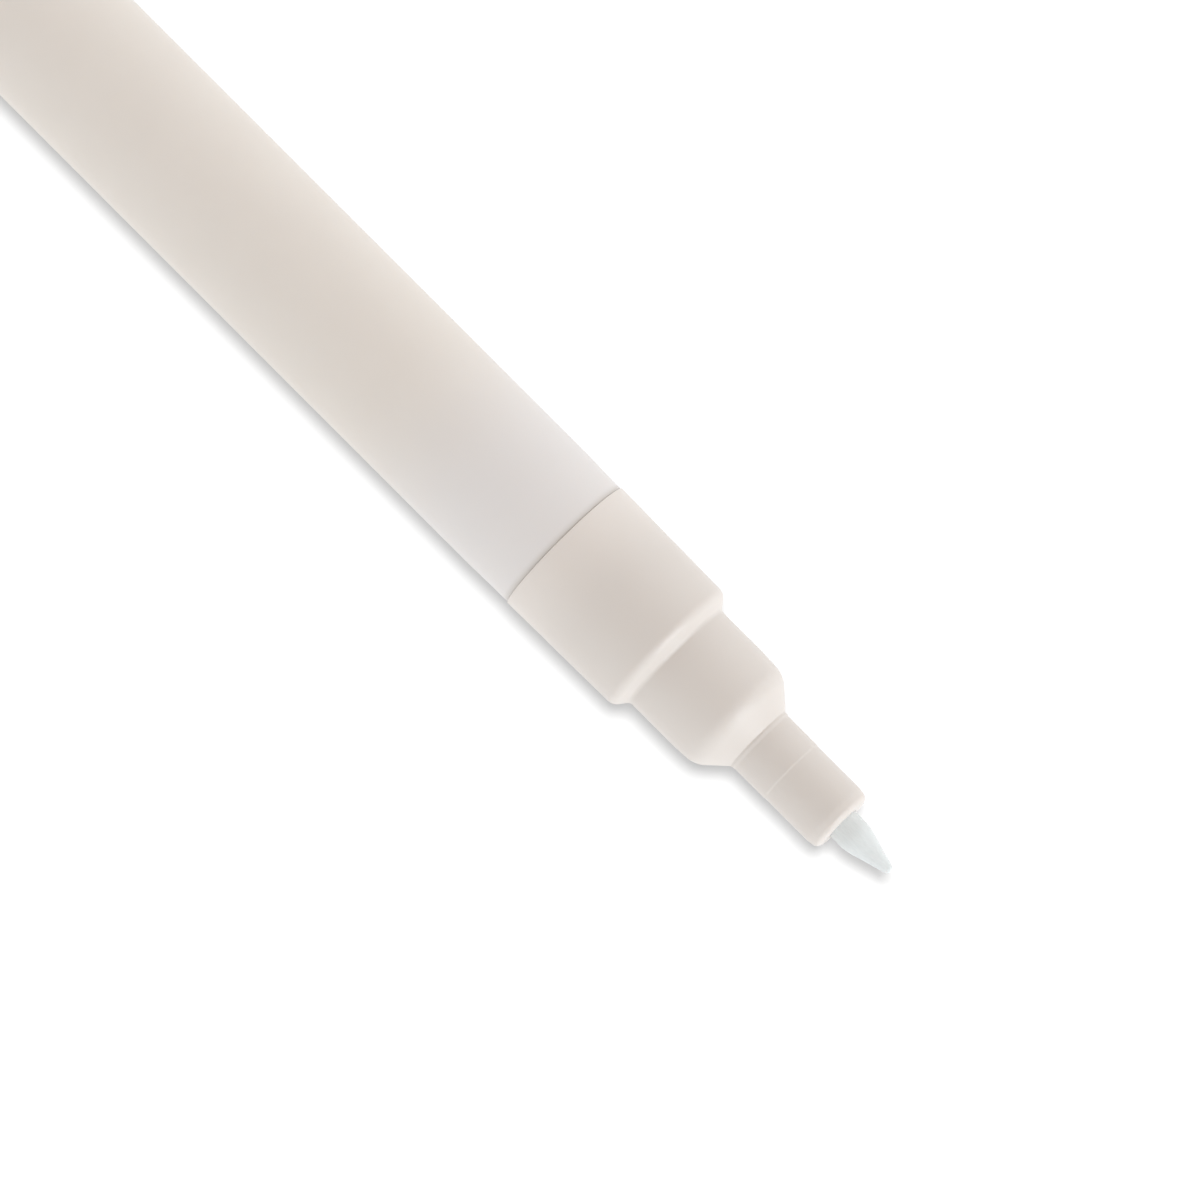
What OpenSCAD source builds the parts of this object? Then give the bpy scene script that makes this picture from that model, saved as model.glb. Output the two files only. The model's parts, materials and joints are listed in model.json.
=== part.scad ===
// Counterfeit detector pen: a fibre-tip marker with a push-on cap, lying on its side.
// The pen's axis is X, with the nib at +X. The origin is on the axis at the foot of the
// shoulder, where the mouth of the cap stops when the nib is covered. Millimetres.

/* [Barrel] */
// Outside diameter of the barrel
barrel_d = 11.5; // [11:0.1:13]
// Thickness of the barrel's wall
barrel_wall = 1.0; // [0.8:0.05:1.2]
// Length of the barrel tube
barrel_len = 77; // [70:0.2:100]

/* [Nose] */
// Diameter of the collar's front end and of the mouth of the cap
collar_d = 11.24; // [11.1:0.02:11.4]
// Length of the collar, with its shoulder
collar_len = 11.4; // [8:0.1:14]
// Axial length of the sloping shoulder
shoulder_len = 0.9; // [0.6:0.1:1.2]
// Diameter of the seat that the cap slides on
seat_d = 9.2; // [9:0.02:9.4]
// Length of the seat
seat_len = 6.0; // [5:0.1:7]
// Axial length of the cone between the seat and the nozzle
cone_len = 2.4; // [2.2:0.1:3]
// Diameter of the nozzle
nozzle_d = 5.32; // [5:0.02:5.6]
// Length of the nozzle
nozzle_len = 8.2; // [7:0.1:10]

/* [Nib] */
// Diameter of the fibre nib
nib_d = 2.52; // [2:0.02:2.8]
// How far the nib stands out of the nozzle
nib_out = 4.85; // [3.6:0.05:5]

/* [Cap] */
// Length of the cap
cap_len = 40; // [38:0.5:46]
// Diameter of the closed end of the cap
crown_d = 11.0; // [10.8:0.05:11.3]
// Width of the pocket clip
clip_w = 3.6; // [3:0.1:4.4]
// Distance from the pen's axis to the outer face of the clip
clip_reach = 8.6; // [8.2:0.1:9.2]

/* [Ink reservoir] */
// Diameter of the fibre bundle with its film
reservoir_d = 7.84; // [7.2:0.02:7.84]
// Length of the fibre bundle
reservoir_len = 70; // [50:1:70]

/* [Hidden] */
$fn = 96;

// Gaps between pieces
gap = 0.01;         // between pieces that are pressed together
slide_gap = 0.04;   // between the cap and the spigot it slides on
turn_gap = 0.03;    // between the inner cap and the cap
vent_gap = 0.08;    // round the reservoir, for air
flex_gap = 0.2;     // round the foot of the clip

// Radii
barrel_r = barrel_d / 2;
bore_r = barrel_r - barrel_wall;
barrel_mouth_r = barrel_r - 0.08; // the tube closes in a little on the nose's shank
collar_r = collar_d / 2;
collar_back_r = barrel_r;         // the collar widens to the barrel's full size
seat_r = seat_d / 2;
seat_tip_r = seat_r - 0.1;
nozzle_r = nozzle_d / 2;
land_r = nozzle_r + 0.08;
nozzle_tip_r = nozzle_r - 0.03;   // beyond the mould's split line
nib_r = nib_d / 2;
film_r = reservoir_d / 2;
film_wall = 0.12;
core_r = film_r - film_wall - gap;
shank_r = bore_r - 0.09;
ring_r = bore_r - gap;
crown_r = crown_d / 2;

// Places along the axis
nozzle_x = seat_len + cone_len;
nozzle_end_x = nozzle_x + nozzle_len;
barrel_front_x = -collar_len;
barrel_back_x = barrel_front_x - barrel_len;
spigot_len = 10;
reservoir_front_x = -4;
reservoir_back_x = reservoir_front_x - reservoir_len;
nib_back_x = -9;

// Small details
mouth_len = 4;      // length over which the barrel closes in
seam_edge_r = 0.05; // crisp edges of the seam between the barrel and the nose
edge_r = 0.25;      // other rounded edges
foot_r = 0.15;      // fillet at the foot of the shoulder
seat_edge_r = 2.2;  // soft edge between the seat and the cone
land_len = 0.5;     // ring at the root of the nozzle
split_x = nozzle_x + 3;             // mould's split line round the nozzle
nozzle_edge_r = 0.9;
nib_slope = 16;     // angle of the nib's cone to its axis
nib_tip_r = 0.38;
rib_w = 0.8;        // ribs inside the barrel
rib_count = 4;
press_rings = 3;    // rings that grip the barrel's bore
press_ring_len = 1.2;

// Tail plug: flange, shoulder and the spigot that the cap is posted on
flange_len = 1.5;
tail_foot_x = barrel_back_x - flange_len - shoulder_len;
post_len = 5.4;
post_end_x = tail_foot_x - post_len;
plug_len = 8;
stop_r = 3.0;       // tube that holds the reservoir forward
stop_wall = 0.8;
cup_r = 3.3;        // hollow of the plug, open to the rear
cup_floor = 1.2;

// Cap, posted on the tail: its mouth faces +X
mouth_gap = 0.05;
cap_mouth_x = tail_foot_x - mouth_gap;
cap_end_x = cap_mouth_x - cap_len;
cap_bore_r = seat_r + slide_gap;
liner_depth = 9.8;      // from the mouth of the cap to the inner cap
liner_flange_len = 1.2;
liner_flange_r = cap_bore_r - turn_gap;
cap_rib_r = 4.3;        // inner radius of the ribs inside the cap
cap_rib_w = 0.7;
cap_rib_count = 6;
crown_wall = 1.6;
crown_edge_r = 0.9;
vent_count = 3;         // curved slots through the crown
vent_in_r = 2.1;
vent_out_r = 3.3;
vent_angle = 60;
liner_bore_r = nozzle_r + 0.04;
liner_r = 3.7;
liner_seal_len = 7.4;   // length that closes round the nozzle
nib_room_r = 2.0;
nib_room_len = 7.4;
liner_end_wall = 1.2;

// Clip
clip_t = 1.5;           // thickness of the arm
clip_foot_w = 2.6;
clip_foot_len = 2.4;    // along the axis
clip_lip = 0.9;         // hook beyond each end of the foot, inside the cap
clip_lip_t = 0.8;
clip_root_depth = cap_len - 4;      // from the mouth of the cap to the foot
clip_tip_depth = 8;                 // from the mouth of the cap to the tip of the arm
clip_root_x = cap_mouth_x - clip_root_depth;
clip_tip_x = cap_mouth_x - clip_tip_depth;
clip_bump_r = 1.2;
clip_bump_gap = 0.12;
clip_pad = 1.5;         // arm beyond the middle of the foot
clip_corner_r = 0.5;

// The clip is turned until its outer edge meets the surface that the barrel lies on.
clip_edge = norm([clip_reach, clip_w / 2]);
clip_turn = 180 - atan2(clip_w / 2, clip_reach) - acos(barrel_r / clip_edge);

// Points of an arc, for the outlines below
function arc(r, x, size, from, to, steps = 5) =
    [for (i = [0 : steps])
        let (a = from + (to - from) * i / steps)
        [r + size * cos(a), x + size * sin(a)]];

// A body turned about the pen's axis, from an outline of [radius, distance along X]
module turned(outline) {
    rotate([0, 90, 0]) rotate_extrude() polygon(outline);
}

// A round bar along X from one place to another
module bar(r, from_x, to_x, r_end = -1) {
    translate([from_x, 0, 0]) rotate([0, 90, 0])
        cylinder(h = to_x - from_x, r1 = r, r2 = r_end < 0 ? r : r_end);
}

// A round tube along X
module tube(r_out, r_in, from_x, to_x) {
    turned([[r_in, from_x], [r_out, from_x], [r_out, to_x], [r_in, to_x]]);
}

// Ribs that stand inward from a bore
module bore_ribs(count, w, r_in, r_out, from_x, to_x, turn = 0) {
    intersection() {
        tube(r_out, r_in, from_x, to_x);
        for (i = [0 : count - 1])
            rotate([turn + 360 * i / count, 0, 0])
                translate([from_x, -w / 2, 0])
                cube([to_x - from_x, w, r_out]);
    }
}

// Shank with low rings, pressed into the barrel's bore
module press_shank(from_x, to_x) {
    step = (to_x - from_x) / press_rings;
    bar(shank_r, from_x, to_x);
    for (i = [0 : press_rings - 1])
        bar(ring_r, from_x + step * (i + 0.5) - press_ring_len / 2,
            from_x + step * (i + 0.5) + press_ring_len / 2);
}

module barrel() {
    color("#dcd6d0") union() {
        turned(concat(
            [[bore_r, barrel_back_x]],
            arc(barrel_r - edge_r, barrel_back_x + edge_r, edge_r, -90, 0),
            [[barrel_r, barrel_front_x - mouth_len]],
            arc(barrel_mouth_r - seam_edge_r, barrel_front_x - seam_edge_r, seam_edge_r, 0, 90, 3),
            [[bore_r, barrel_front_x]]));
        bore_ribs(rib_count, rib_w, film_r + vent_gap / 2, bore_r + barrel_wall / 2,
            reservoir_back_x - 4, barrel_front_x - spigot_len - 2, 45);
    }
}

// Outside of the nose: collar, shoulder, seat, cone and nozzle
function nose_outline() = concat(
    [[0, -collar_len]],
    arc(collar_back_r - seam_edge_r, -collar_len + seam_edge_r, seam_edge_r, -90, 0, 3),
    arc(collar_r - edge_r, -shoulder_len - edge_r / 2, edge_r, 0, 45, 3),
    arc(seat_r + foot_r, foot_r, foot_r, 225, 180, 3),
    [[seat_r, seat_len * 0.65]],
    arc(seat_tip_r - seat_edge_r, seat_len - seat_edge_r / 4, seat_edge_r, 2, 38),
    [[land_r, nozzle_x - land_len / 2], [land_r, nozzle_x]],
    [[nozzle_r, nozzle_x + land_len / 2]],
    [[nozzle_r, split_x], [nozzle_tip_r, split_x + 0.4]],
    arc(nozzle_tip_r - nozzle_edge_r, nozzle_end_x - nozzle_edge_r, nozzle_edge_r, 0, 80),
    [[nib_r + gap, nozzle_end_x]],
    [[0, nozzle_end_x]]);

module nose() {
    spigot_x = -collar_len - spigot_len;
    seat_bore_r = 3.2;
    color("#d6cfc9") difference() {
        union() {
            turned(nose_outline());
            press_shank(spigot_x, -collar_len);
        }
        // room for the front of the reservoir
        bar(film_r + vent_gap, spigot_x - 1, reservoir_front_x + gap);
        // hollow behind the nozzle, tapering to the nib's bore
        bar(seat_bore_r, reservoir_front_x, seat_len * 0.7);
        bar(seat_bore_r, seat_len * 0.7 - gap, seat_len * 1.1, nib_r + gap);
        bar(nib_r + gap, 0, nozzle_end_x + 1);
        // air channels beside the nib
        for (i = [0 : 3])
            rotate([90 * i, 0, 0])
                translate([0, -0.25, 0])
                cube([nozzle_end_x - 1.4, 0.5, nib_r + 0.5]);
    }
}

module nib() {
    nib_end_x = nozzle_end_x + nib_out;
    tip_x = nib_end_x - nib_tip_r;
    blunt = 0.05;   // the rod's edge is eased by this much where the cone begins
    cone_x = tip_x + nib_tip_r * sin(nib_slope)
        - (nib_r - blunt - nib_tip_r * cos(nib_slope)) / tan(nib_slope);
    color("#dfe2e1") turned(concat(
        [[0, nib_back_x], [0.7, nib_back_x], [nib_r, nib_back_x + 3]],
        [[nib_r, cone_x - 0.5], [nib_r - blunt, cone_x]],
        arc(0, tip_x, nib_tip_r, nib_slope, 90)));
}

module reservoir_core() {
    breather_y = core_r - 0.6;
    color("#d9cdb4") difference() {
        bar(core_r, reservoir_back_x, reservoir_front_x);
        // socket for the rear of the nib
        bar(nib_r + gap, nib_back_x - 0.2, reservoir_front_x + 1);
        // groove for the breather tube
        translate([0, 0, breather_y]) bar(0.6 + gap, reservoir_back_x - 1, reservoir_front_x + 1);
    }
}

module reservoir_film() {
    color("#f2f2ee") tube(film_r, film_r - film_wall, reservoir_back_x, reservoir_front_x);
}

module breather_tube() {
    color("#e8ecee") translate([0, 0, core_r - 0.6])
        tube(0.6, 0.4, reservoir_back_x + 1, reservoir_front_x - 2);
}

module tail_plug() {
    floor_x = barrel_back_x + plug_len - cup_floor;
    color("#d6cfc9") difference() {
        union() {
            turned(concat(
                [[0, post_end_x], [seat_r - 0.5, post_end_x], [seat_r, post_end_x + 0.5]],
                arc(seat_r + foot_r, tail_foot_x - foot_r, foot_r, 180, 135, 3),
                arc(collar_r - edge_r, barrel_back_x - flange_len + edge_r / 2, edge_r, -45, 0, 3),
                arc(collar_r - edge_r, barrel_back_x - edge_r, edge_r, 0, 90),
                [[0, barrel_back_x]]));
            press_shank(barrel_back_x, barrel_back_x + plug_len);
            tube(stop_r, stop_r - stop_wall, barrel_back_x + plug_len - 1, reservoir_back_x - gap);
        }
        bar(cup_r, post_end_x - 1, floor_x);
    }
}

// Places along the inner cap, measured from the mouth of the cap
module inner_cap() {
    flange_x = cap_mouth_x - liner_depth;
    neck_x = flange_x - liner_flange_len;
    seal_x = flange_x - liner_seal_len;
    room_x = seal_x - nib_room_len;
    end_x = room_x - liner_end_wall;
    ring_len = 2;
    color("#e4e0da") turned([
        [0, end_x],
        [cap_rib_r - turn_gap - 0.4, end_x],
        [cap_rib_r - turn_gap, end_x + 0.4],
        [cap_rib_r - turn_gap, end_x + ring_len],
        [liner_r, end_x + ring_len + 0.6],
        [liner_r, neck_x],
        [liner_flange_r, neck_x],
        [liner_flange_r, flange_x],
        [liner_bore_r + 0.6, flange_x],
        [liner_bore_r, flange_x - 0.8],
        [liner_bore_r, seal_x],
        [nib_room_r, seal_x - 0.5],
        [nib_room_r, room_x],
        [0, room_x]]);
}

// One curved slot through the crown
module crown_vent(from_x, to_x) {
    reach = vent_out_r * 2;
    side = reach * tan(vent_angle / 2);
    intersection() {
        tube(vent_out_r, vent_in_r, from_x, to_x);
        translate([to_x, 0, 0]) rotate([0, -90, 0])
            linear_extrude(to_x - from_x) polygon([[0, 0], [reach, side], [reach, -side]]);
    }
}

// Hollow outer cap with ribs inside and a vented crown
module cap_shell() {
    lip_r = 0.2;
    ribs_from_x = cap_end_x + crown_wall;
    ribs_to_x = cap_mouth_x - liner_depth - liner_flange_len - gap;
    color("#d8d2cc") difference() {
        union() {
            difference() {
                turned(concat(
                    [[0, cap_end_x]],
                    arc(crown_r - crown_edge_r, cap_end_x + crown_edge_r, crown_edge_r, -90, 0, 6),
                    arc(collar_r - lip_r, cap_mouth_x - lip_r, lip_r, 0, 90, 4),
                    [[0, cap_mouth_x]]));
                bar(cap_bore_r, ribs_from_x, cap_mouth_x + 1);
                bar(cap_bore_r, cap_mouth_x - 0.3, cap_mouth_x + gap, cap_bore_r + 0.3);
            }
            bore_ribs(cap_rib_count, cap_rib_w, cap_rib_r, cap_bore_r + 0.4,
                ribs_from_x - 0.5, ribs_to_x, clip_turn + 30);
        }
        // vents through the crown
        for (i = [0 : vent_count - 1])
            rotate([clip_turn + 360 * (i + 0.5) / vent_count, 0, 0])
                crown_vent(cap_end_x - 1, ribs_from_x + 0.6);
        // slot for the foot of the clip
        rotate([clip_turn, 0, 0])
            translate([clip_root_x - clip_foot_len / 2 - flex_gap,
                       -clip_foot_w / 2 - flex_gap, cap_rib_r - 1])
            cube([clip_foot_len + 2 * flex_gap, clip_foot_w + 2 * flex_gap, 3]);
    }
}

// Side of the clip, in the plane of X and the distance from the pen's axis
module clip_side() {
    under = crown_r + flex_gap;
    arm_under = clip_reach - clip_t;
    back_x = clip_root_x - clip_pad;
    polygon(concat(
        [[clip_root_x - clip_foot_len / 2, cap_rib_r - clip_lip_t],
         [clip_root_x - clip_foot_len / 2, under],
         [back_x, under],
         [back_x, clip_reach - 1.4],
         [back_x + 0.5, clip_reach - 0.5],
         [back_x + 1.6, clip_reach],
         [clip_tip_x - clip_t / 2, clip_reach]],
        [for (a = [60 : -30 : -60])
            [clip_tip_x - clip_t / 2 + clip_t / 2 * cos(a),
             clip_reach - clip_t / 2 + clip_t / 2 * sin(a)]],
        [[clip_tip_x - clip_t / 2, arm_under],
         [clip_root_x + 5, arm_under],
         [clip_root_x + clip_foot_len / 2 + 0.8, under + 0.2],
         [clip_root_x + clip_foot_len / 2, under],
         [clip_root_x + clip_foot_len / 2, cap_rib_r - clip_lip_t]]));
}

module clip() {
    lip_top = cap_rib_r - 0.05;
    bump_x = clip_tip_x - clip_bump_r - 0.6;
    bump_z = collar_r + clip_bump_gap + clip_bump_r;
    foot_x = clip_root_x - clip_foot_len / 2;
    color("#d8d2cc") rotate([clip_turn, 0, 0]) {
        intersection() {
            translate([0, clip_w / 2, 0]) rotate([90, 0, 0])
                linear_extrude(clip_w) clip_side();
            union() {
                // arm with a rounded tip, over the narrower foot
                translate([0, 0, crown_r + flex_gap]) linear_extrude(clip_reach) union() {
                    translate([clip_root_x - clip_pad, -clip_w / 2])
                        square([clip_tip_x - clip_w / 2 - clip_root_x + clip_pad, clip_w]);
                    translate([clip_tip_x - clip_w / 2, 0]) circle(d = clip_w);
                }
                translate([foot_x, -clip_foot_w / 2, 0])
                    cube([clip_foot_len, clip_foot_w, crown_r + 1]);
            }
        }
        // bump that presses on the cap
        translate([bump_x, clip_w / 2 - clip_corner_r, bump_z]) rotate([90, 0, 0])
            cylinder(h = clip_w - 2 * clip_corner_r, r = clip_bump_r);
        // hooks of the foot, inside the cap
        translate([foot_x - clip_lip, -clip_foot_w / 2, cap_rib_r - clip_lip_t])
            cube([clip_foot_len + 2 * clip_lip, clip_foot_w, lip_top - cap_rib_r + clip_lip_t]);
    }
}

barrel();
nose();
nib();
reservoir_core();
reservoir_film();
breather_tube();
tail_plug();
inner_cap();
cap_shell();
clip();
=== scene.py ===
import json
from math import cos, pi, radians, sin

import bpy
import numpy as np
from mathutils import Matrix, Vector


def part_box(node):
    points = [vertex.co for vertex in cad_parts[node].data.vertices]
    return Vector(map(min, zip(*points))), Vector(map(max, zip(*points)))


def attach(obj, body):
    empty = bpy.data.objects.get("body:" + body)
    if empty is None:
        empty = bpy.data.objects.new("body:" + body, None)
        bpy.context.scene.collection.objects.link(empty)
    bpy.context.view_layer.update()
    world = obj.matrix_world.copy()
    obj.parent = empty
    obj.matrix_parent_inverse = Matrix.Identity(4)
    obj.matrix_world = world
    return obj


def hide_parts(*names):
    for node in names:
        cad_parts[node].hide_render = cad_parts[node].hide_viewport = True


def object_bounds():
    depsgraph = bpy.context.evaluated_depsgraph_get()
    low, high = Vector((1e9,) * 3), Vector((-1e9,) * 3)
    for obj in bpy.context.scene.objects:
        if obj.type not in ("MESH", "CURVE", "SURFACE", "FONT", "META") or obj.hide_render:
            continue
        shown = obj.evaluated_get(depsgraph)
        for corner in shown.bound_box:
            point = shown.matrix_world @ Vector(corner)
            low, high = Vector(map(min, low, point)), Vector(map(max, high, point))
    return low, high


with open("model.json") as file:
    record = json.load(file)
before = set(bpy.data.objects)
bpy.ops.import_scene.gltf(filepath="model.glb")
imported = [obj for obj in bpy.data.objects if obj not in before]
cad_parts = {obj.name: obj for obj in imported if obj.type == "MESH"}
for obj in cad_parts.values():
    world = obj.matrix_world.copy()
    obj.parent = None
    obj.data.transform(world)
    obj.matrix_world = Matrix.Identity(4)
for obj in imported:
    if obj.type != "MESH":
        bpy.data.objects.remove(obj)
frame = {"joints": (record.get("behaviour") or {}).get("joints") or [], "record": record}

cad_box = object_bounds()


# ---------------------------------------------------------------- Table, light and camera
# A white sheet lit from above and a little from below, as a light table is, in a bright
# room with a soft panel beyond the pen's nib. The pen lies on its barrel and its clip.
mm = 0.001
table_z = cad_box[0].z


def lay_table(name, height, half_side):
    """A flat square sheet: four corners at one height."""
    side = np.array([-1, 1]) * half_side
    x, y = np.meshgrid(side, side)
    corners = np.stack([x, y, np.full_like(x, height)], -1).reshape(-1, 3)
    mesh = bpy.data.meshes.new(name)
    mesh.from_pydata(corners.tolist(), [], [(0, 1, 3, 2)])
    sheet = bpy.data.objects.new(name, mesh)
    bpy.context.collection.objects.link(sheet)
    return sheet


def light_table_paper():
    """White paper that glows a little, so that its shadows stay pale."""
    paper = bpy.data.materials.new("light_table_paper")
    paper.use_nodes = True
    shader = paper.node_tree.nodes["Principled BSDF"]
    shader.inputs["Base Color"].default_value = (0.2, 0.2, 0.2, 1)
    shader.inputs["Roughness"].default_value = 0.9
    shader.inputs["Specular IOR Level"].default_value = 0.0
    shader.inputs["Emission Color"].default_value = (1, 1, 1, 1)
    shader.inputs["Emission Strength"].default_value = 0.41
    return paper


table = lay_table("table", height=table_z, half_side=6.0)
table.data.materials.append(light_table_paper())


def light_room(zenith, horizon, panel, panel_from, panel_half_angle):
    """World light: dim straight up and bright all round, with a soft panel in one direction.

    The brightness falls from horizon to zenith with the square of the direction's height,
    and the panel adds a smooth bump of cooler light round the direction it shines from."""
    world = bpy.data.worlds.new("studio")
    bpy.context.scene.world = world
    world.use_nodes = True
    nodes, links = world.node_tree.nodes, world.node_tree.links
    background = nodes["Background"]
    where = nodes.new("ShaderNodeTexCoord")
    split = nodes.new("ShaderNodeSeparateXYZ")
    links.new(where.outputs["Generated"], split.inputs[0])

    square = nodes.new("ShaderNodeMath")
    square.operation = "MULTIPLY"
    links.new(split.outputs["Z"], square.inputs[0])
    links.new(split.outputs["Z"], square.inputs[1])
    rise = nodes.new("ShaderNodeMapRange")
    rise.inputs["To Min"].default_value = horizon
    rise.inputs["To Max"].default_value = zenith
    links.new(square.outputs[0], rise.inputs["Value"])

    toward = nodes.new("ShaderNodeVectorMath")
    toward.operation = "DOT_PRODUCT"
    toward.inputs[1].default_value = Vector(panel_from).normalized()
    links.new(where.outputs["Generated"], toward.inputs[0])
    bump = nodes.new("ShaderNodeMapRange")
    bump.interpolation_type = "SMOOTHSTEP"
    bump.inputs["From Min"].default_value = cos(panel_half_angle)
    bump.inputs["To Max"].default_value = panel
    links.new(toward.outputs["Value"], bump.inputs["Value"])
    window = nodes.new("ShaderNodeBackground")
    window.inputs["Color"].default_value = (0.94, 1.0, 1.06, 1)
    links.new(bump.outputs["Result"], window.inputs["Strength"])

    # the light from overhead is warmer than the light from all round
    warm_side = nodes.new("ShaderNodeVectorMath")
    warm_side.operation = "DOT_PRODUCT"
    warm_side.inputs[1].default_value = Vector((0.0, 0.1, 1.0)).normalized()
    links.new(where.outputs["Generated"], warm_side.inputs[0])
    tint = nodes.new("ShaderNodeMix")
    tint.data_type = "RGBA"
    tint.inputs["A"].default_value = (0.93, 1.0, 1.03, 1)
    tint.inputs["B"].default_value = (1.112, 1.0, 0.915, 1)
    links.new(warm_side.outputs["Value"], tint.inputs["Factor"])
    links.new(tint.outputs["Result"], background.inputs["Color"])
    links.new(rise.outputs["Result"], background.inputs["Strength"])
    total = nodes.new("ShaderNodeAddShader")
    links.new(background.outputs[0], total.inputs[0])
    links.new(window.outputs[0], total.inputs[1])
    links.new(total.outputs[0], nodes["World Output"].inputs["Surface"])


light_room(zenith=0.20, horizon=1.26, panel=3.9, panel_from=(1.0, 0.15, 0.565),
           panel_half_angle=radians(26))


def shade_lamp(strength, direction, softness):
    """A far lamp whose light only falls on the table, for the thin shadow beside the pen."""
    data = bpy.data.lights.new("shade_lamp", "SUN")
    data.energy = strength
    data.angle = softness
    lamp = bpy.data.objects.new("shade_lamp", data)
    bpy.context.collection.objects.link(lamp)
    lamp.rotation_mode = "QUATERNION"
    lamp.rotation_quaternion = Vector(direction).to_track_quat("Z", "Y")
    lit = bpy.data.collections.new("lit_by_shade_lamp")
    lit.objects.link(table)
    lamp.light_linking.receiver_collection = lit


shade_lamp(strength=8.2, direction=(0.02, 0.11, 1.0), softness=radians(13))

# The camera looks almost straight down, tipped towards the nib, with the pen across the
# picture from corner to corner. A long lens keeps the barrel's sides parallel.
seen_width = 85.2 * mm
aim = Vector((-6.87 * mm, -0.96 * mm, 0))
tip_angle = radians(5)
camera_distance = 1.5
camera_data = bpy.data.cameras.new("camera")
camera_data.sensor_width = 36
camera_data.lens = camera_data.sensor_width * camera_distance / seen_width
camera_data.clip_end = 20
camera = bpy.data.objects.new("camera", camera_data)
bpy.context.collection.objects.link(camera)
bpy.context.scene.camera = camera
back = Vector((sin(tip_angle), 0, cos(tip_angle)))
along = Vector((cos(tip_angle), 0, -sin(tip_angle)))
side = Vector((0, 1, 0))
right = (along + side).normalized()
up = (side - along).normalized()
turn = Matrix((right, up, back)).transposed()
camera.matrix_world = Matrix.Translation(aim + back * camera_distance) @ turn.to_4x4()
bpy.context.scene.view_settings.view_transform = "Standard"


# ---------------------------------------------------------------- Barrel
# A straight tube of white polypropylene that closes in a little at its front end. Four low
# ribs inside hold the ink reservoir. The nose and the tail plug press into it.
steps_round = 192


def rounded_outline(corners, closed=False, steps=7, hold=0.05):
    """Outline of (along, radius) points through corners given as (x, r, round), in mm.

    Each corner with a round becomes the arc that touches both of its sides: its centre lies
    on the line that halves the corner, at round / sin(half angle). An arc takes up a little
    under half of a side at most. A point a little before and after each arc holds the
    straight stretches straight when they are shaded."""
    share_of_side = 0.48
    least_hold = 1e-4
    count = len(corners)
    points = []
    for k, (x, r, size) in enumerate(corners):
        here = np.array([x, r], float)
        if size == 0 or (not closed and k in (0, count - 1)):
            points.append(here[None])
            continue
        before = np.array(corners[k - 1][:2], float) - here
        after = np.array(corners[(k + 1) % count][:2], float) - here
        room = share_of_side * min(np.linalg.norm(before), np.linalg.norm(after))
        before /= np.linalg.norm(before)
        after /= np.linalg.norm(after)
        half = np.arccos(np.clip(before @ after, -1, 1)) / 2
        cut = min(size / np.tan(half), room)
        size = cut * np.tan(half)
        middle = before + after
        centre = here + middle / np.linalg.norm(middle) * size / np.sin(half)
        first, last = here + before * cut - centre, here + after * cut - centre
        start = np.arctan2(first[1], first[0])
        sweep = (np.arctan2(last[1], last[0]) - start + pi) % (2 * pi) - pi
        angle = start + sweep * np.linspace(0, 1, steps + 1)
        arc = centre + size * np.stack([np.cos(angle), np.sin(angle)], -1)
        spare = min(hold, room - cut + least_hold)
        points += [(here + before * (cut + spare))[None], arc, (here + after * (cut + spare))[None]]
    return np.concatenate(points)


def make_piece(name, points, faces):
    """One mesh object at the origin, smooth, with its true corners kept sharp."""
    mesh = bpy.data.meshes.new(name)
    mesh.from_pydata(points.tolist(), [], faces)
    mesh.shade_smooth()
    mesh.set_sharp_from_angle(angle=radians(32))
    piece = bpy.data.objects.new(name, mesh)
    bpy.context.collection.objects.link(piece)
    return piece


def grid_faces(rows, columns, closed, missing=None):
    """Four-sided faces of a grid whose columns run all the way round, facing outwards.

    Point j of row i is number i x columns + j, and a face joins it to the next row and column."""
    i = np.arange(rows if closed else rows - 1)[:, None]
    j = np.arange(columns)[None]
    row, next_row = i * columns, (i + 1) % rows * columns
    next_j = (j + 1) % columns
    quads = np.stack([row + j, next_row + j, next_row + next_j, row + next_j], -1)
    if missing is not None:
        quads = quads[~missing]
    return quads.reshape(-1, 4)


def end_fans(rings, columns):
    """Triangles that close a grid's first and last rings on two points numbered after it."""
    j = np.arange(columns)
    next_j = (j + 1) % columns
    last = (rings - 1) * columns
    first_point = np.full(columns, rings * columns)
    first_fan = np.stack([first_point, j, next_j], -1)
    last_fan = np.stack([first_point + 1, last + next_j, last + j], -1)
    return first_fan.tolist() + last_fan.tolist()


def opening_walls(a, b, c, d, j0, j1, columns):
    """Walls of an opening through a turned wall, between its outer and inner edges.

    The outer skin runs from row a to b, and the inner skin runs back from row c to d."""
    walls = []
    for j in range(j0, j1):
        walls.append([a * columns + j, d * columns + j,
                      d * columns + j + 1, a * columns + j + 1])
        walls.append([b * columns + j + 1, c * columns + j + 1,
                      c * columns + j, b * columns + j])
    outer = (np.arange(a, b + 1) * columns).tolist()
    inner = (np.linspace(d, c, b - a + 1).round().astype(int) * columns).tolist()
    for k in range(b - a):
        walls.append([outer[k] + j0, outer[k + 1] + j0, inner[k + 1] + j0, inner[k] + j0])
        walls.append([outer[k + 1] + j1, outer[k] + j1, inner[k] + j1, inner[k + 1] + j1])
    return walls


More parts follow.
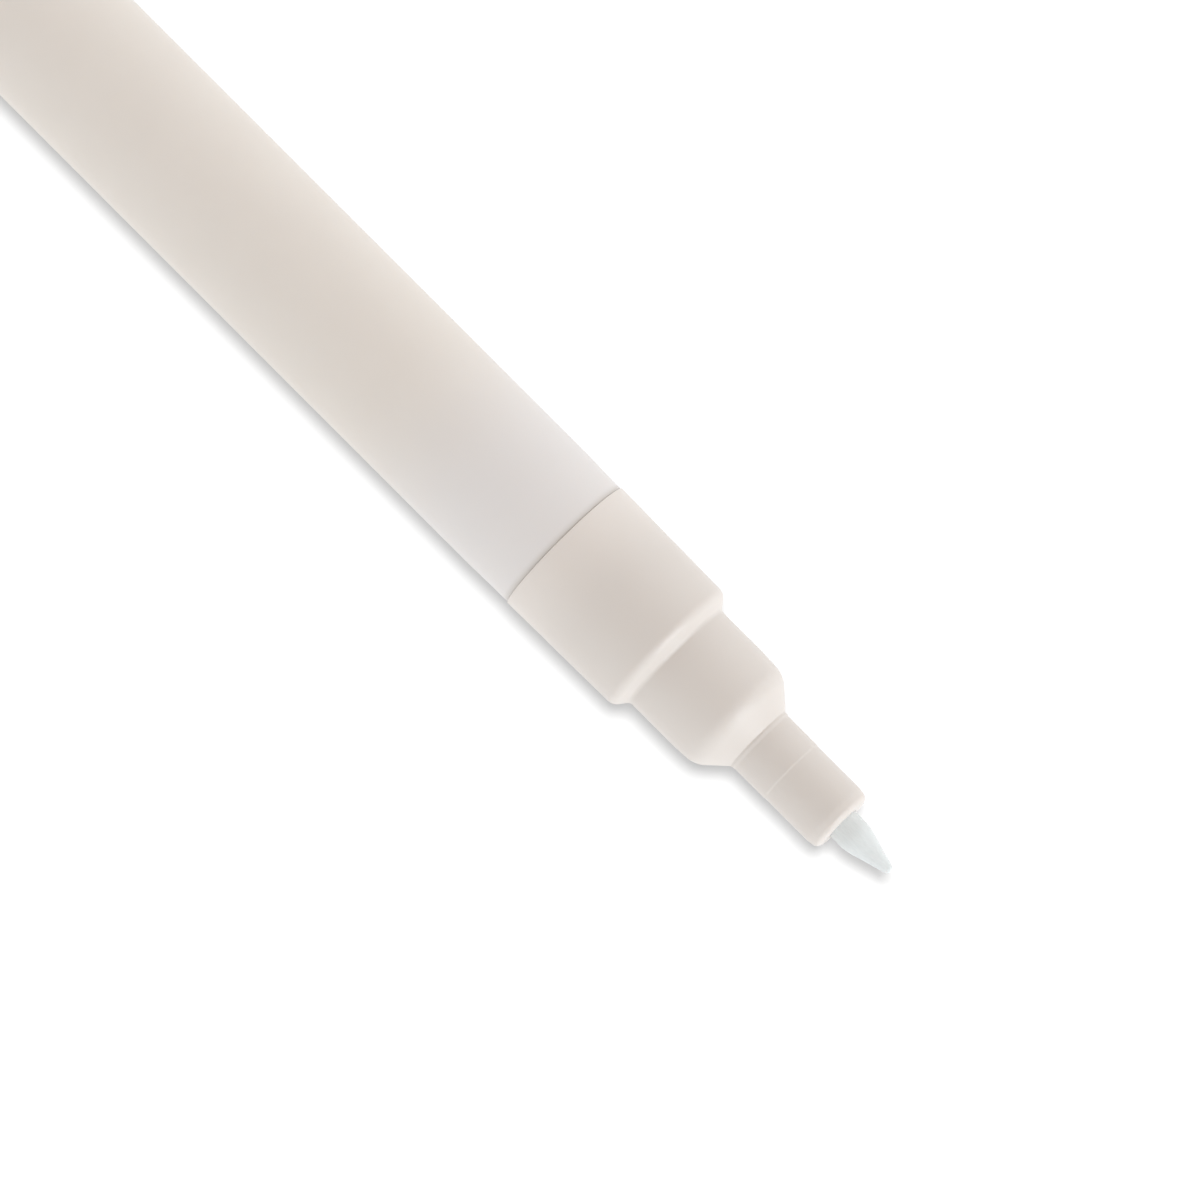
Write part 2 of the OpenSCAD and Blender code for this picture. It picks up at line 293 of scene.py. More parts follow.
def turned_piece(name, outline, closed=False, shape=None, columns=steps_round,
                 first_angle=0.0, openings=()):
    """A piece turned about the pen's axis.

    A point (x, r) of the outline goes to (x, r sin a, r cos a) for every angle a. shape(x, r, a)
    may change the radius as it goes round. An open outline starts and ends on the axis, where
    its first and last rings shrink to one point each. Each opening is (outer rows, inner rows,
    columns): its faces are left out of both skins, and walls join the two skins round it."""
    angle = first_angle + np.arange(columns) * 2 * pi / columns
    x = np.repeat(outline[:, :1], columns, 1)
    r = np.repeat(outline[:, 1:], columns, 1)
    if shape is not None:
        r = shape(x, r, angle[None])
    points = np.stack([x, r * np.sin(angle), r * np.cos(angle)], -1) * mm
    rows = len(outline)
    missing = np.zeros((rows if closed else rows - 1, columns), bool)
    walls = []
    for (a, b), (c, d), (j0, j1) in openings:
        missing[a:b, j0:j1] = True
        missing[c:d, j0:j1] = True
        walls += opening_walls(a, b, c, d, j0, j1, columns)
    if closed:
        faces = grid_faces(rows, columns, True, missing)
        return make_piece(name, points.reshape(-1, 3), faces.tolist() + walls)
    # the first and last rings are single points on the axis
    rings = points[1:-1].reshape(-1, 3)
    poles = points[[0, -1], 0]
    faces = grid_faces(rows - 2, columns, False, missing[1:-1]).tolist()
    walls = [[corner - columns for corner in wall] for wall in walls]
    return make_piece(name, np.concatenate([rings, poles]),
                      faces + end_fans(rows - 2, columns) + walls)


def noise(nodes, links, scale, detail=2, stretch=None):
    """Noise on the piece's own coordinates, drawn out along an axis by a small stretch."""
    where = nodes.new("ShaderNodeTexCoord").outputs["Object"]
    if stretch is not None:
        mapping = nodes.new("ShaderNodeMapping")
        mapping.inputs["Scale"].default_value = stretch
        links.new(where, mapping.inputs["Vector"])
        where = mapping.outputs["Vector"]
    texture = nodes.new("ShaderNodeTexNoise")
    texture.inputs["Scale"].default_value = scale
    texture.inputs["Detail"].default_value = detail
    links.new(where, texture.inputs["Vector"])
    return texture.outputs["Fac"]


def two_tones(nodes, links, factor, first, second):
    """A colour between two tones: first x (1 - factor) + second x factor."""
    tone = nodes.new("ShaderNodeMix")
    tone.data_type = "RGBA"
    tone.inputs["A"].default_value = (*first, 1)
    tone.inputs["B"].default_value = (*second, 1)
    links.new(factor, tone.inputs["Factor"])
    return tone.outputs["Result"]


def varied_polish(nodes, links, factor, smooth, rough):
    """Roughness that runs from smooth to rough as the factor runs from zero to one."""
    polish = nodes.new("ShaderNodeMapRange")
    polish.inputs["To Min"].default_value = smooth
    polish.inputs["To Max"].default_value = rough
    links.new(factor, polish.inputs["Value"])
    links.new(polish.outputs["Result"], nodes["Principled BSDF"].inputs["Roughness"])


def raised_grain(nodes, links, height, strength, distance):
    """Tips the surface as grain of this height, in metres, would."""
    lift = nodes.new("ShaderNodeBump")
    lift.inputs["Strength"].default_value = strength
    lift.inputs["Distance"].default_value = distance
    links.new(height, lift.inputs["Height"])
    links.new(lift.outputs["Normal"], nodes["Principled BSDF"].inputs["Normal"])


def moulded_plastic(name, colour, depth_colour, shine=0.5, bands=()):
    """White polypropylene: satin, slightly cloudy, with a fine spark-eroded grain.

    Broad soft noise drifts the colour between two near whites, and finer noise varies the
    polish and lifts the grain. Shine sets how bright the gloss is. Over each band (start,
    end, tone) along X, the colour goes over to the band's tone in a smooth S."""
    plastic = bpy.data.materials.new(name)
    plastic.use_nodes = True
    nodes, links = plastic.node_tree.nodes, plastic.node_tree.links
    shader = nodes["Principled BSDF"]
    shader.inputs["IOR"].default_value = 1.49
    shader.inputs["Specular IOR Level"].default_value = shine
    shader.inputs["Subsurface Weight"].default_value = 0.12
    shader.inputs["Subsurface Radius"].default_value = (1.0, 0.85, 0.7)
    shader.inputs["Subsurface Scale"].default_value = 0.0006

    cloud = noise(nodes, links, scale=260, detail=3)
    surface = two_tones(nodes, links, cloud, colour, depth_colour)
    where = nodes.new("ShaderNodeTexCoord")
    split = nodes.new("ShaderNodeSeparateXYZ")
    links.new(where.outputs["Object"], split.inputs[0])
    for start, end, band_tone in bands:
        fade = nodes.new("ShaderNodeMapRange")
        fade.interpolation_type = "SMOOTHSTEP"
        fade.inputs["From Min"].default_value = start * mm
        fade.inputs["From Max"].default_value = end * mm
        links.new(split.outputs["X"], fade.inputs["Value"])
        over = nodes.new("ShaderNodeMix")
        over.data_type = "RGBA"
        links.new(fade.outputs["Result"], over.inputs["Factor"])
        links.new(surface, over.inputs["A"])
        over.inputs["B"].default_value = (*band_tone, 1)
        surface = over.outputs["Result"]
    links.new(surface, shader.inputs["Base Color"])

    grain = noise(nodes, links, scale=5200)
    varied_polish(nodes, links, grain, smooth=0.36, rough=0.50)
    raised_grain(nodes, links, grain, strength=0.25, distance=0.00001)
    return plastic


def span(node):
    """The lowest and highest place of a CAD node along the pen, in mm, and its radius."""
    low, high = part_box(node)
    return low.x / mm, high.x / mm, (high.z - low.z) / 2 / mm


barrel_back, seam, barrel_r = span("barrel")
wall = 1.0
bore_r = barrel_r - wall
rib_height = 0.77
rib_half_width = 0.4
rib_side = 0.1
rib_ramp = 0.4
tail_to_ribs = 10.4
ribs_to_seam = 12
rib_start, rib_end = barrel_back + tail_to_ribs, seam - ribs_to_seam
past_ramp = 0.05
edge = 0.25
seam_edge = 0.05
bore_edge = 0.08
mouth_closes_by = 0.08
mouth_len = 4


def on_wall(r, wall_r, touch=0.01):
    """Whether a point of an outline lies on a wall of this radius, within a hair."""
    return np.abs(r - wall_r) < touch


def ribs_in_bore(x, r, a):
    """Four ribs: the bore's radius drops by a rib's height within half a width of each.

    The distance across a rib is taken as bore radius x |sin 2(a - 45 degrees)| / 2. The step
    is softened over rib_side across the rib, and over rib_ramp at its two ends."""
    across = bore_r * np.abs(np.sin(2 * (a - pi / 4))) / 2
    facing = np.clip((rib_half_width - across) / rib_side + 0.5, 0, 1)
    inside = np.clip(np.minimum(x - rib_start, rib_end - x) / rib_ramp, 0, 1)
    return r - on_wall(r, bore_r) * inside * facing * rib_height


# a row of points lies just past each end of the ribs' ramps
barrel_outline = rounded_outline([
    (barrel_back, bore_r, bore_edge),
    (barrel_back, barrel_r, edge),
    (seam - mouth_len, barrel_r, 3.0),
    (seam, barrel_r - mouth_closes_by, seam_edge),
    (seam, bore_r, bore_edge),
    (rib_end + past_ramp, bore_r, 0),
    (rib_end - rib_ramp - past_ramp, bore_r, 0),
    (rib_start + rib_ramp + past_ramp, bore_r, 0),
    (rib_start - past_ramp, bore_r, 0)], closed=True)
barrel = turned_piece("barrel_tube", barrel_outline, closed=True, shape=ribs_in_bore)
cooler_front = (seam - 18, seam - 5, (0.752, 0.719, 0.706))
shaded_mouth = (seam - 0.55, seam - 0.05, (0.65, 0.611, 0.584))
barrel.data.materials.append(moulded_plastic(
    "barrel_plastic", colour=(0.767, 0.715, 0.666), depth_colour=(0.738, 0.685, 0.636),
    shine=0.15, bands=[cooler_front, shaded_mouth]))
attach(barrel, "pen")
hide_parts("barrel")


# ---------------------------------------------------------------- Nose
# The front end in one white moulding: a ringed shank pressed into the barrel, the collar,
# a sloping shoulder, the seat that the cap slides on, a cone and the thin nozzle.
shank_back, nozzle_end, _ = span("nose")
collar_r = span("tail_plug")[2]
seat_mount = next(m for m in frame["record"]["mounts"] if m["name"] == "cap_seat")
seat_r = seat_mount["dims"]["r_mm"]
shoulder = 0.9
shoulder_start = -0.98
foot_start = -0.2
seat_narrows = 3.9
seat_front = 6.15
seat_front_r = seat_r - 0.1
nozzle_root = 8.4
root_ring_r = 2.71
ring_back, ring_front, ring_foot = nozzle_root - 0.3, nozzle_root - 0.12, nozzle_root + 0.1
nozzle_r = 2.66
nozzle_tip_r = 2.63
split_line = 11.4
split_half = 0.07
tip_closes_over = 0.9
tip_closes_by = 0.15
nib_bore_r = 1.27
nib_bore_start = 6.6
channel_start, channel_end = 6.9, nozzle_end - 1.5
channel_half_width = 0.25
channel_depth = 0.5
channel_ramp = 0.2
channel_side = 0.06
hollow_r = 3.2
hollow_front = 4.2
reservoir_room_r = 4.0
reservoir_stop = -3.99
shank_r = 4.66
ring_r = 4.74


def press_rings(start, end, count=3, half=0.6, slope=0.25):
    """Corners of the low rings round a shank, one in the middle of each equal share of it."""
    pitch = (end - start) / count
    corners = []
    for k in range(count):
        middle = start + pitch * (k + 0.5)
        corners += [(middle - half - slope, shank_r, 0.15), (middle - half, ring_r, 0.2),
                    (middle + half, ring_r, 0.2), (middle + half + slope, shank_r, 0.15)]
    return corners


def air_channels(x, r, a):
    """Four narrow grooves beside the nib: the bore's radius grows by their depth.

    The distance across a groove is taken as bore radius x |sin 2a| / 2, and the step is
    softened as the barrel's ribs are."""
    across = nib_bore_r * np.abs(np.sin(2 * a)) / 2
    facing = np.clip((channel_half_width - across) / channel_side + 0.5, 0, 1)
    inside = np.clip(np.minimum(x - channel_start, channel_end - x) / channel_ramp, 0, 1)
    return r + on_wall(r, nib_bore_r) * inside * facing * channel_depth


nose_outline = rounded_outline([
    (shank_back, reservoir_room_r, 0.08),
    (shank_back, shank_r, 0.2),
    *press_rings(shank_back, seam),
    (seam, shank_r, 0.05),
    (seam, barrel_r, seam_edge),
    (shoulder_start, collar_r, 0.9),
    (foot_start, seat_r, 0.45),
    (seat_narrows, seat_r, 0),
    (seat_front, seat_front_r, 2.2),
    (ring_back, root_ring_r, 0.12),
    (ring_front, root_ring_r, 0.3),
    (ring_foot, nozzle_r, 0.3),
    (split_line - split_half, nozzle_r, 0.3),
    (split_line + split_half, nozzle_tip_r, 0.3),
    (nozzle_end - tip_closes_over, nozzle_tip_r, 2.0),
    (nozzle_end, nozzle_tip_r - tip_closes_by, 0.65),
    (nozzle_end, nib_bore_r, 0.12),
    (channel_end + channel_ramp, nib_bore_r, 0),
    (channel_end - channel_ramp - past_ramp, nib_bore_r, 0),
    (channel_start + channel_ramp + past_ramp, nib_bore_r, 0),
    (channel_start - past_ramp, nib_bore_r, 0),
    (nib_bore_start, nib_bore_r, 0),
    (hollow_front, hollow_r, 0.5),
    (reservoir_stop, hollow_r, 0.1),
    (reservoir_stop, reservoir_room_r, 0.1)], closed=True)
nose = turned_piece("nose_moulding", nose_outline, closed=True, shape=air_channels)
deeper_front = (seam, seam + 6, (0.687, 0.635, 0.595))
nose_plastic = moulded_plastic("nose_plastic", colour=(0.762, 0.705, 0.661),
                               depth_colour=(0.731, 0.673, 0.631), shine=0.7,
                               bands=[deeper_front])
nose.data.materials.append(nose_plastic)
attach(nose, "pen")
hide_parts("nose")


# ---------------------------------------------------------------- Nib
# A rod of bonded acrylic fibre, 2.5 mm thick, ground to a bullet in front and to a blunt
# taper behind, where it stands in the reservoir. It is pushed into the nozzle.
nib_back, nib_end, nib_r = span("nib")
tip_r = 0.38
slope = radians(16)
tip_centre = nib_end - tip_r
cone_start = tip_centre + tip_r / sin(slope) - nib_r / np.tan(slope)
blunt_end_r = 0.7
back_taper = 3
pole = 0.0


def round_tip(centre, size, start, steps=12):
    """Points of a ball's outline, (centre + size sin a, size cos a), up to the axis."""
    angle = np.linspace(start, pi / 2, steps)
    return np.stack([centre + size * np.sin(angle), size * np.cos(angle)], -1)


nib_outline = np.concatenate([
    rounded_outline([
        (nib_back, pole, 0),
        (nib_back, blunt_end_r, 0.15),
        (nib_back + back_taper, nib_r, 0.8),
        (cone_start, nib_r, 3.6),
        (tip_centre + tip_r * sin(slope), tip_r * cos(slope), 0)], steps=12),
    round_tip(tip_centre, tip_r, slope)[1:]])
nib = turned_piece("nib_rod", nib_outline, columns=96)


def nib_felt():
    """Bonded fibre: pale and matt, with fine strands along the rod and open pores.

    Noise drawn out along X makes the strands, and a fine round one makes the pores."""
    felt = bpy.data.materials.new("nib_felt")
    felt.use_nodes = True
    nodes, links = felt.node_tree.nodes, felt.node_tree.links
    shader = nodes["Principled BSDF"]
    shader.inputs["Specular IOR Level"].default_value = 0.25
    shader.inputs["Sheen Weight"].default_value = 0.15
    shader.inputs["Subsurface Weight"].default_value = 0.25
    shader.inputs["Subsurface Radius"].default_value = (0.8, 0.9, 0.9)
    shader.inputs["Subsurface Scale"].default_value = 0.0004
    strands = noise(nodes, links, scale=9000, detail=3, stretch=(0.12, 1, 1))
    pores = noise(nodes, links, scale=5200, detail=4)
    tone = two_tones(nodes, links, strands, (0.67, 0.695, 0.695), (0.79, 0.815, 0.815))
    links.new(tone, shader.inputs["Base Color"])
    varied_polish(nodes, links, pores, smooth=0.7, rough=0.95)
    both = nodes.new("ShaderNodeMath")
    both.operation = "ADD"
    links.new(strands, both.inputs[0])
    links.new(pores, both.inputs[1])
    raised_grain(nodes, links, both.outputs[0], strength=0.5, distance=0.00003)
    return felt


nib.data.materials.append(nib_felt())
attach(nib, "pen")
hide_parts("nib")


# ---------------------------------------------------------------- Ink reservoir
# A bundle of polyester fibre that holds the iodine ink, wrapped in thin clear film. A straw
# lies in a groove of the bundle and lets air back in. It drops into the barrel as one.
core_back, core_front, film_r = span("reservoir_film")
core_r = span("reservoir_core")[2]
straw_back, straw_front, straw_r = span("breather_tube")
straw_z = core_r - straw_r
straw_wall = 0.2
groove_gap = 0.01
groove_reach = 0.4
socket_r = nib_bore_r
socket_end = nib_back - 0.2
film_wall = 0.12


def straw_groove(x, r, a):
    """The bundle's side steps in to the near side of the straw where the straw covers it.

    From the axis, the near side of a circle of radius g at a distance d is at
    d cos a - sqrt(g g - d d sin a sin a)."""
    off = straw_z * np.sin(a)
    groove_r = straw_r + groove_gap
    inside = (np.abs(off) < groove_r) & (np.cos(a) > 0)
    near = straw_z * np.cos(a) - np.sqrt(np.clip(groove_r ** 2 - off ** 2, 0, None))
    return np.where(inside & (r > core_r - groove_reach), near - (core_r - r), r)


core = turned_piece("reservoir_bundle", rounded_outline([
    (core_back, pole, 0),
    (core_back, core_r, 0.3),
    (core_front, core_r, 0.3),
    (core_front, socket_r, 0.1),
    (socket_end, socket_r, 0.1),
    (socket_end, pole, 0)]), shape=straw_groove)


def inked_fibre():
    """Fibre bundle wetted with amber ink.

    Noise drawn out along X makes the strands, which vary between two ambers."""
    fibre = bpy.data.materials.new("inked_fibre")
    fibre.use_nodes = True
    nodes, links = fibre.node_tree.nodes, fibre.node_tree.links
    shader = nodes["Principled BSDF"]
    shader.inputs["Roughness"].default_value = 0.75
    strands = noise(nodes, links, scale=4200, detail=4, stretch=(0.04, 1, 1))
    tone = two_tones(nodes, links, strands, (0.50, 0.33, 0.13), (0.78, 0.64, 0.40))
    links.new(tone, shader.inputs["Base Color"])
    raised_grain(nodes, links, strands, strength=0.6, distance=0.00005)
    return fibre


def thin_clear_plastic(name, tint):
    """Clear film or straw: glossy and faintly milky.

    One soft noise clouds the tint towards white and varies the gloss."""
    clear = bpy.data.materials.new(name)
    clear.use_nodes = True
    nodes, links = clear.node_tree.nodes, clear.node_tree.links
    shader = nodes["Principled BSDF"]
    shader.inputs["Transmission Weight"].default_value = 0.6
    shader.inputs["IOR"].default_value = 1.45
    ripple = noise(nodes, links, scale=900)
    milk = two_tones(nodes, links, ripple, tint, (0.95, 0.95, 0.95))
    links.new(milk, shader.inputs["Base Color"])
    varied_polish(nodes, links, ripple, smooth=0.12, rough=0.3)
    return clear


core.data.materials.append(inked_fibre())
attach(core, "pen")
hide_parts("reservoir_core")

film = turned_piece("reservoir_wrap", rounded_outline([
    (core_back, film_r - film_wall, 0.03),
    (core_back, film_r, 0.03),
    (core_front, film_r, 0.03),
    (core_front, film_r - film_wall, 0.03)], closed=True, steps=3), closed=True)
film.data.materials.append(thin_clear_plastic("film_plastic", (0.86, 0.87, 0.84)))
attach(film, "pen")
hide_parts("reservoir_film")

straw = turned_piece("air_straw", rounded_outline([
    (straw_back, straw_r - straw_wall, 0.04),
    (straw_back, straw_r, 0.04),
    (straw_front, straw_r, 0.04),
    (straw_front, straw_r - straw_wall, 0.04)], closed=True, steps=3), closed=True, columns=48)
straw.data.transform(Matrix.Translation((0, 0, straw_z * mm)))
straw.data.materials.append(thin_clear_plastic("straw_plastic", (0.84, 0.88, 0.90)))
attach(straw, "pen")
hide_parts("breather_tube")


# ---------------------------------------------------------------- Tail plug
# Closes the barrel's other end, in the nose's own plastic: a ringed shank, a flange, and a
# hollow spigot that the cap is pushed on while the pen is in use. A tube on its front end
# holds the reservoir forward.
post_end, stop_front, flange_r = span("tail_plug")
flange = 1.5
tail_foot = barrel_back - flange - shoulder
tail_fillet = 0.12
fillet_back, fillet_front = tail_foot - 0.16, tail_foot + 0.02
shank_len = 8
shank_front = barrel_back + shank_len
cup_r = 3.3
cup_floor_thick = 1.2
cup_floor = shank_front - cup_floor_thick
stop_r = 3.0
stop_bore_r = 2.2
plug_outline = rounded_outline([
    (cup_floor, pole, 0),
    (cup_floor, cup_r, 0.4),
    (post_end, cup_r, 0.15),
    (post_end, seat_r, 0.5),
    (fillet_back, seat_r, 0.12),
    (fillet_front, seat_r + tail_fillet, 0.1),
    (tail_foot + shoulder, flange_r, 0.32),
    (barrel_back, flange_r, 0.26),
    (barrel_back, shank_r, 0.05),
    *press_rings(barrel_back, shank_front),
    (shank_front, shank_r, 0.3),
    (shank_front, stop_r, 0.3),
    (stop_front, stop_r, 0.15),
    (stop_front, stop_bore_r, 0.15),
    (shank_front, stop_bore_r, 0.2),
    (shank_front, pole, 0)])
plug = turned_piece("tail_plug_moulding", plug_outline)
plug.data.materials.append(nose_plastic)
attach(plug, "pen")
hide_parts("tail_plug")


# ---------------------------------------------------------------- Inner cap
# A soft cup of natural polyethylene pressed into the cap. Its bore closes round the nozzle
# and keeps the nib from drying out, and its flange rests on the ribs inside the cap.
liner_back, liner_mouth, liner_flange_r = span("inner_cap")
liner_r = 3.7
liner_bore_r = 2.7
nib_room_r = 2.0
liner_ring_r = 4.27
liner_ring_len = 2
liner_ring_slope = 0.6
liner_flange = 1.2
lead_in_width = 0.6
lead_in_len = 0.8
seal_len = 7.4
seal_slope = 0.5
nib_room_len = 7.4
seal_end = liner_mouth - seal_len
nib_room_end = seal_end - nib_room_len
liner_outline = rounded_outline([
    (liner_back, pole, 0),
    (liner_back, liner_ring_r, 0.4),
    (liner_back + liner_ring_len, liner_ring_r, 0.2),
    (liner_back + liner_ring_len + liner_ring_slope, liner_r, 0.3),
    (liner_mouth - liner_flange, liner_r, 0.15),
    (liner_mouth - liner_flange, liner_flange_r, 0.12),
    (liner_mouth, liner_flange_r, 0.15),
    (liner_mouth, liner_bore_r + lead_in_width, 0.15),
    (liner_mouth - lead_in_len, liner_bore_r, 0.3),
    (seal_end, liner_bore_r, 0.2),
    (seal_end - seal_slope, nib_room_r, 0.2),
    (nib_room_end, nib_room_r, 0.5),
    (nib_room_end, pole, 0)])
liner = turned_piece("inner_cap_cup", liner_outline)
liner.data.materials.append(moulded_plastic(
    "liner_plastic", colour=(0.80, 0.80, 0.78), depth_colour=(0.76, 0.76, 0.74)))
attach(liner, "cap_liner")
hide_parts("inner_cap")


# ---------------------------------------------------------------- Cap
# The outer cap, moulded in white: a smooth shell that narrows a little to its crown, six
# ribs inside, three curved vents and a gate dimple in the crown, and a slot for the clip.
crown, cap_mouth, cap_r = span("cap_shell")
clip_joint = next(j for j in frame["joints"] if j["name"] == "clip_flex")
clip_out = np.cross(clip_joint["axis"], (1, 0, 0))
clip_angle = np.arctan2(clip_out[1], clip_out[2])
cap_narrows_by = 0.16
crown_r = cap_r - cap_narrows_by
taper_start = crown + 1
slide_gap = 0.04
cap_bore_r = seat_r + slide_gap
mouth_bevel = 0.3
crown_wall = 1.6
crown_inside = crown + crown_wall
cap_rib_r = 4.3
cap_rib_half_width = 0.35
cap_rib_ramp = 0.2
ribs_above_crown = 0.02
ribs_from_mouth = 11.01
cap_ribs_end = cap_mouth - ribs_from_mouth
foot_x = clip_joint["pos_m"][0] / mm
slot_half_len = 1.4
slot_half_width = 1.5
vent_in, vent_out = 2.1, 3.3
gate_r = 0.5
gate_depth = 0.12
column = 2 * pi / steps_round
clip_column = 12


def ribs_in_cap(x, r, a):
    """Six ribs, the first a twelfth of a turn from the clip: the bore's radius drops.

    The distance across a rib is taken as bore radius x |sin 3(a - first rib)| / 3, and the
    step is softened as the barrel's ribs are. They start just above the crown's inside."""
    turn_off = a - clip_angle - pi / 6
    across = cap_bore_r * np.abs(np.sin(3 * turn_off)) / 3
    facing = np.clip((cap_rib_half_width - across) / rib_side + 0.5, 0, 1)
    above_crown = x > crown_inside + ribs_above_crown / 2
    inside = np.clip((cap_ribs_end - x) / cap_rib_ramp, 0, 1) * above_crown
    bore = on_wall(r, cap_bore_r, touch=0.001)
    return r - bore * inside * facing * (cap_bore_r - cap_rib_r)


def row_of(outline, x, r):
    """The outline's row nearest to a place."""
    return int(np.argmin(np.hypot(outline[:, 0] - x, outline[:, 1] - r)))


def on_taper(x):
    """The outer radius of the cap at a place: in proportion, from its crown's to its mouth's."""
    return crown_r + (cap_r - crown_r) * (x - taper_start) / (cap_mouth - taper_start)


slot_back, slot_front = foot_x - slot_half_len, foot_x + slot_half_len
cap_outline = rounded_outline([
    (crown + gate_depth, pole, 0),
    (crown + gate_depth, gate_r, 0.08),
    (crown, gate_r + gate_depth, 0.08),
    (crown, vent_in, 0),
    (crown, vent_out, 0),
    (crown, crown_r, 0.9),
    (slot_back, on_taper(slot_back), 0),
    (slot_front, on_taper(slot_front), 0),
    (cap_mouth, cap_r, 0.2),
    (cap_mouth, cap_bore_r + mouth_bevel, 0.08),
    (cap_mouth - mouth_bevel, cap_bore_r, 0.1),
    (cap_ribs_end + past_ramp, cap_bore_r, 0),
    (cap_ribs_end - cap_rib_ramp - past_ramp, cap_bore_r, 0),
    (slot_front, cap_bore_r, 0),
    (slot_back, cap_bore_r, 0),
    (crown_inside + ribs_above_crown, cap_bore_r, 0),
    (crown_inside, cap_bore_r, 0),
    (crown_inside, vent_out, 0),
    (crown_inside, vent_in, 0),
    (crown_inside, pole, 0)])
# half widths of the openings in columns: the clip's slot, and a vent of a sixth of a turn
slot_columns = int(round(np.arcsin(slot_half_width / cap_bore_r) / column))
vent_columns = steps_round // 12
through_wall = (
    (row_of(cap_outline, slot_back, crown_r), row_of(cap_outline, slot_front, crown_r)),
    (row_of(cap_outline, slot_front, cap_bore_r), row_of(cap_outline, slot_back, cap_bore_r)),
    (clip_column - slot_columns, clip_column + slot_columns))
through_crown = [
    ((row_of(cap_outline, crown, vent_in), row_of(cap_outline, crown, vent_out)),
     (row_of(cap_outline, crown_inside, vent_out), row_of(cap_outline, crown_inside, vent_in)),
     (middle - vent_columns, middle + vent_columns))
    for middle in clip_column + steps_round // 6 * np.array([1, 3, 5])]
cap_plastic = moulded_plastic("cap_plastic", colour=(0.71, 0.665, 0.62),
                              depth_colour=(0.68, 0.635, 0.59))
cap = turned_piece("cap_shell_moulding", cap_outline, shape=ribs_in_cap,
                   first_angle=clip_angle - clip_column * column,
                   openings=[through_wall, *through_crown])
cap.data.materials.append(cap_plastic)
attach(cap, "cap")
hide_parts("cap_shell")


# ---------------------------------------------------------------- Clip
# A springy arm in the cap's plastic. Its hooked foot snaps into the slot near the crown, the
# arm runs along the cap, and a rounded bump under its tip presses a pocket's edge to the cap.
arm_thick = 1.5
arm_wide = 3.6
foot_wide = 2.6
foot_thick = 2.4
hook_thick = 4.2
clip_reach = 8.6
foot_bottom = 3.5
foot_end_share = 0.8
foot_end_round = 0.2
hook_top = 4.25
hook_slope = 0.25
heel_round = 2.2
heel_starts_before = 0.3
heel_spread = 1.4
tip_to_mouth = 8
tip_x = cap_mouth - tip_to_mouth
tip_thins_over = 0.7
bump_to_tip = 1.8
bump_x = tip_x - bump_to_tip
bump_spread = 0.95
bump_clear = 0.14
arm_level = clip_reach - arm_thick / 2


def clip_centre_line(count=150, crowding=0.35):
    """Up out of the foot, round the heel in a quarter circle, and straight to the tip.

    Gives places (x, height above the pen's axis), headings and the run along the line. The
    run mixes even steps with steps of (1 - cos) / 2, which crowd towards the two ends."""
    rise = arm_level - heel_round - foot_bottom
    quarter = heel_round * pi / 2
    straight = tip_x - foot_x - heel_round
    total = rise + quarter + straight
    crowded = (1 - np.cos(np.linspace(0, pi, count))) / 2
    even = np.linspace(0, 1, count)
    run = (crowded * crowding + even * (1 - crowding)) * total
    round_by = np.clip((run - rise) / heel_round, 0, pi / 2)
    x = foot_x + heel_round * (1 - np.cos(round_by)) + np.clip(run - rise - quarter, 0, None)
    height = foot_bottom + np.clip(run, 0, rise) + heel_round * np.sin(round_by)
    heading = np.stack([np.sin(round_by), np.cos(round_by)], -1)
    return np.stack([x, height], -1), heading, run, rise, total


def ease(value, low, high):
    """Zero below low, one above high, and between them the smooth S t t (3 - 2t)."""
    t = np.clip((value - low) / (high - low), 0, 1)
    return t * t * (3 - 2 * t)


def rounded_end(distance, length):
    """Rises from zero to one over a length as a quarter circle does: sqrt(1 - (1 - t)^2)."""
    return np.sqrt(np.clip(1 - (1 - np.clip(distance / length, 0, 1)) ** 2, 0, 1))


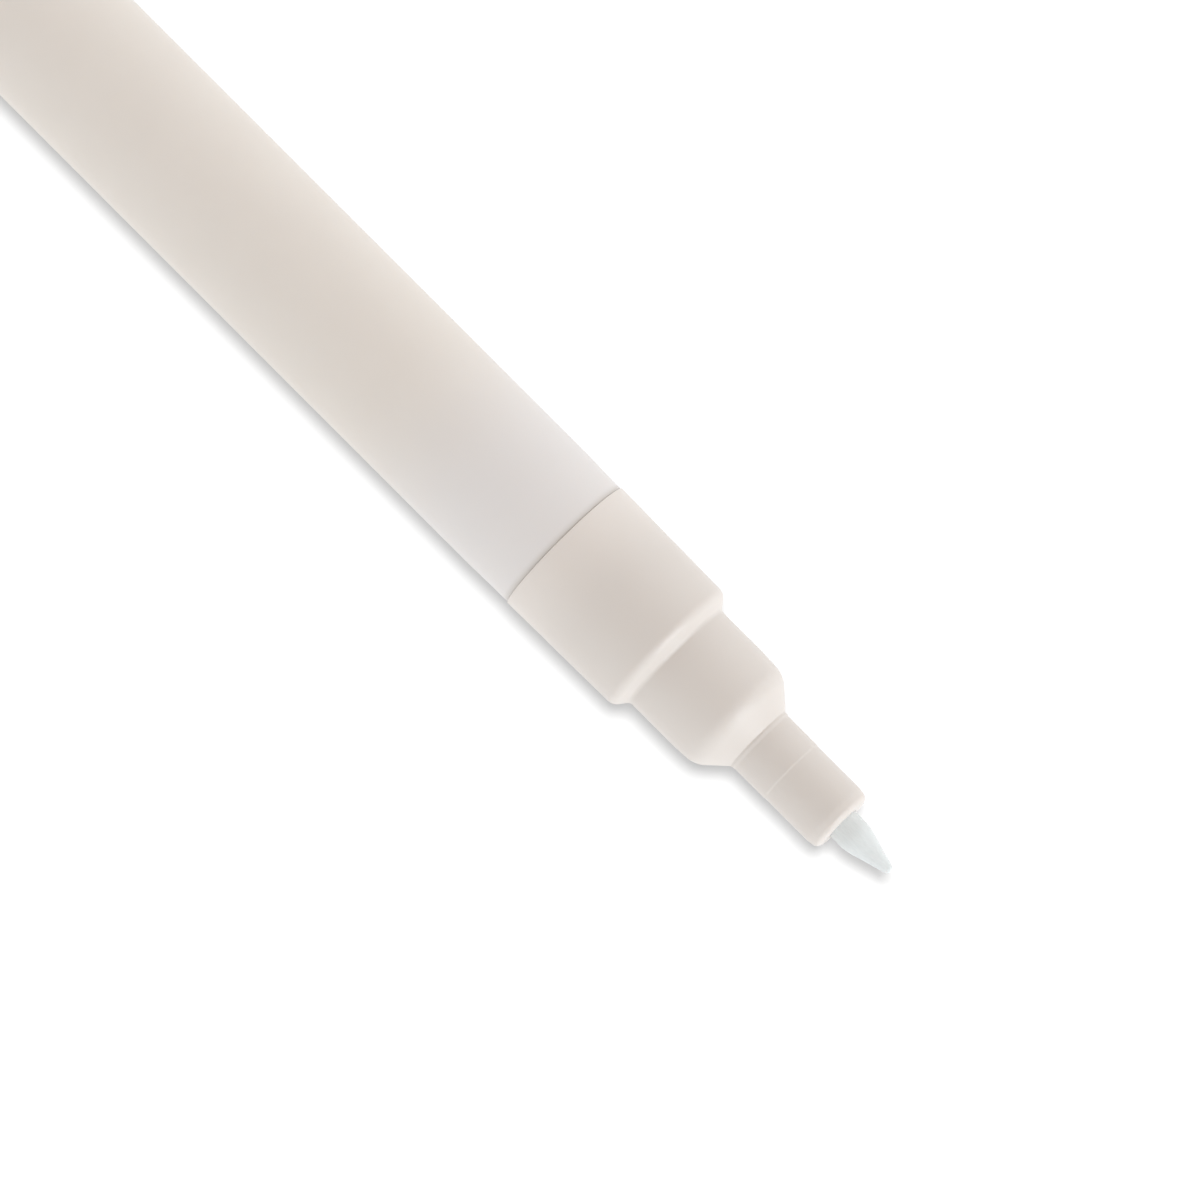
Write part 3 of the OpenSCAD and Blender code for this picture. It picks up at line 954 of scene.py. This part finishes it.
def clip_piece(name, around=64, squareness=3.2):
    """A rounded bar along the clip's centre line.

    Each section is a superellipse: width w/2 |cos b|^(2/n), thickness t/2 |sin b|^(2/n), each
    with its sign. Width and thickness follow the run: hooks, foot, arm and round tip. The
    bump on the side towards the cap is as deep as exp(-(distance / spread)^2)."""
    line, heading, run, rise, total = clip_centre_line()
    hook_height = hook_top - foot_bottom
    hooks = 1 - ease(run, hook_height - hook_slope, hook_height)
    arm = ease(run, rise - heel_starts_before, rise + heel_round * heel_spread)
    thick = foot_thick + (hook_thick - foot_thick) * hooks + (arm_thick - foot_thick) * arm
    wide = foot_wide + (arm_wide - foot_wide) * arm
    from_tip = total - run
    foot_end = foot_end_share + (1 - foot_end_share) * rounded_end(run, foot_end_round)
    wide = wide * rounded_end(from_tip, arm_wide / 2) * foot_end
    thick = thick * rounded_end(from_tip, tip_thins_over) * foot_end
    bump_deep = clip_reach - arm_thick - (cap_r + bump_clear)
    bump = bump_deep * np.exp(-((line[:, 0] - bump_x) / bump_spread) ** 2)
    bump = bump * (run > rise + heel_round)

    b = -np.arange(around) * 2 * pi / around
    across = np.sign(np.cos(b)) * np.abs(np.cos(b)) ** (2 / squareness)
    through = np.sign(np.sin(b)) * np.abs(np.sin(b)) ** (2 / squareness)
    side_off = wide[:, None] / 2 * across
    # the section's outer side is to the left of the heading, away from the cap
    out_off = thick[:, None] / 2 * through - bump[:, None] * np.clip(-through, 0, 1)
    left = np.stack([-heading[:, 1], heading[:, 0]], -1)
    x = line[:, :1] + left[:, :1] * out_off
    height = line[:, 1:] + left[:, 1:] * out_off
    outward = np.array([0, sin(clip_angle), cos(clip_angle)])
    sideways = np.array([0, cos(clip_angle), -sin(clip_angle)])
    points = (x[..., None] * np.array([1, 0, 0]) + height[..., None] * outward
              + side_off[..., None] * sideways) * mm
    # the first and last sections shrink to one point each
    inner_rows = len(line) - 2
    rings = points[1:-1].reshape(-1, 3)
    poles = points[[0, -1]].mean(1)
    faces = grid_faces(inner_rows, around, False).tolist()
    return make_piece(name, np.concatenate([rings, poles]),
                      faces + end_fans(inner_rows, around))


clip = clip_piece("clip_arm")
clip.data.materials.append(cap_plastic)
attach(clip, "clip")
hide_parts("clip")
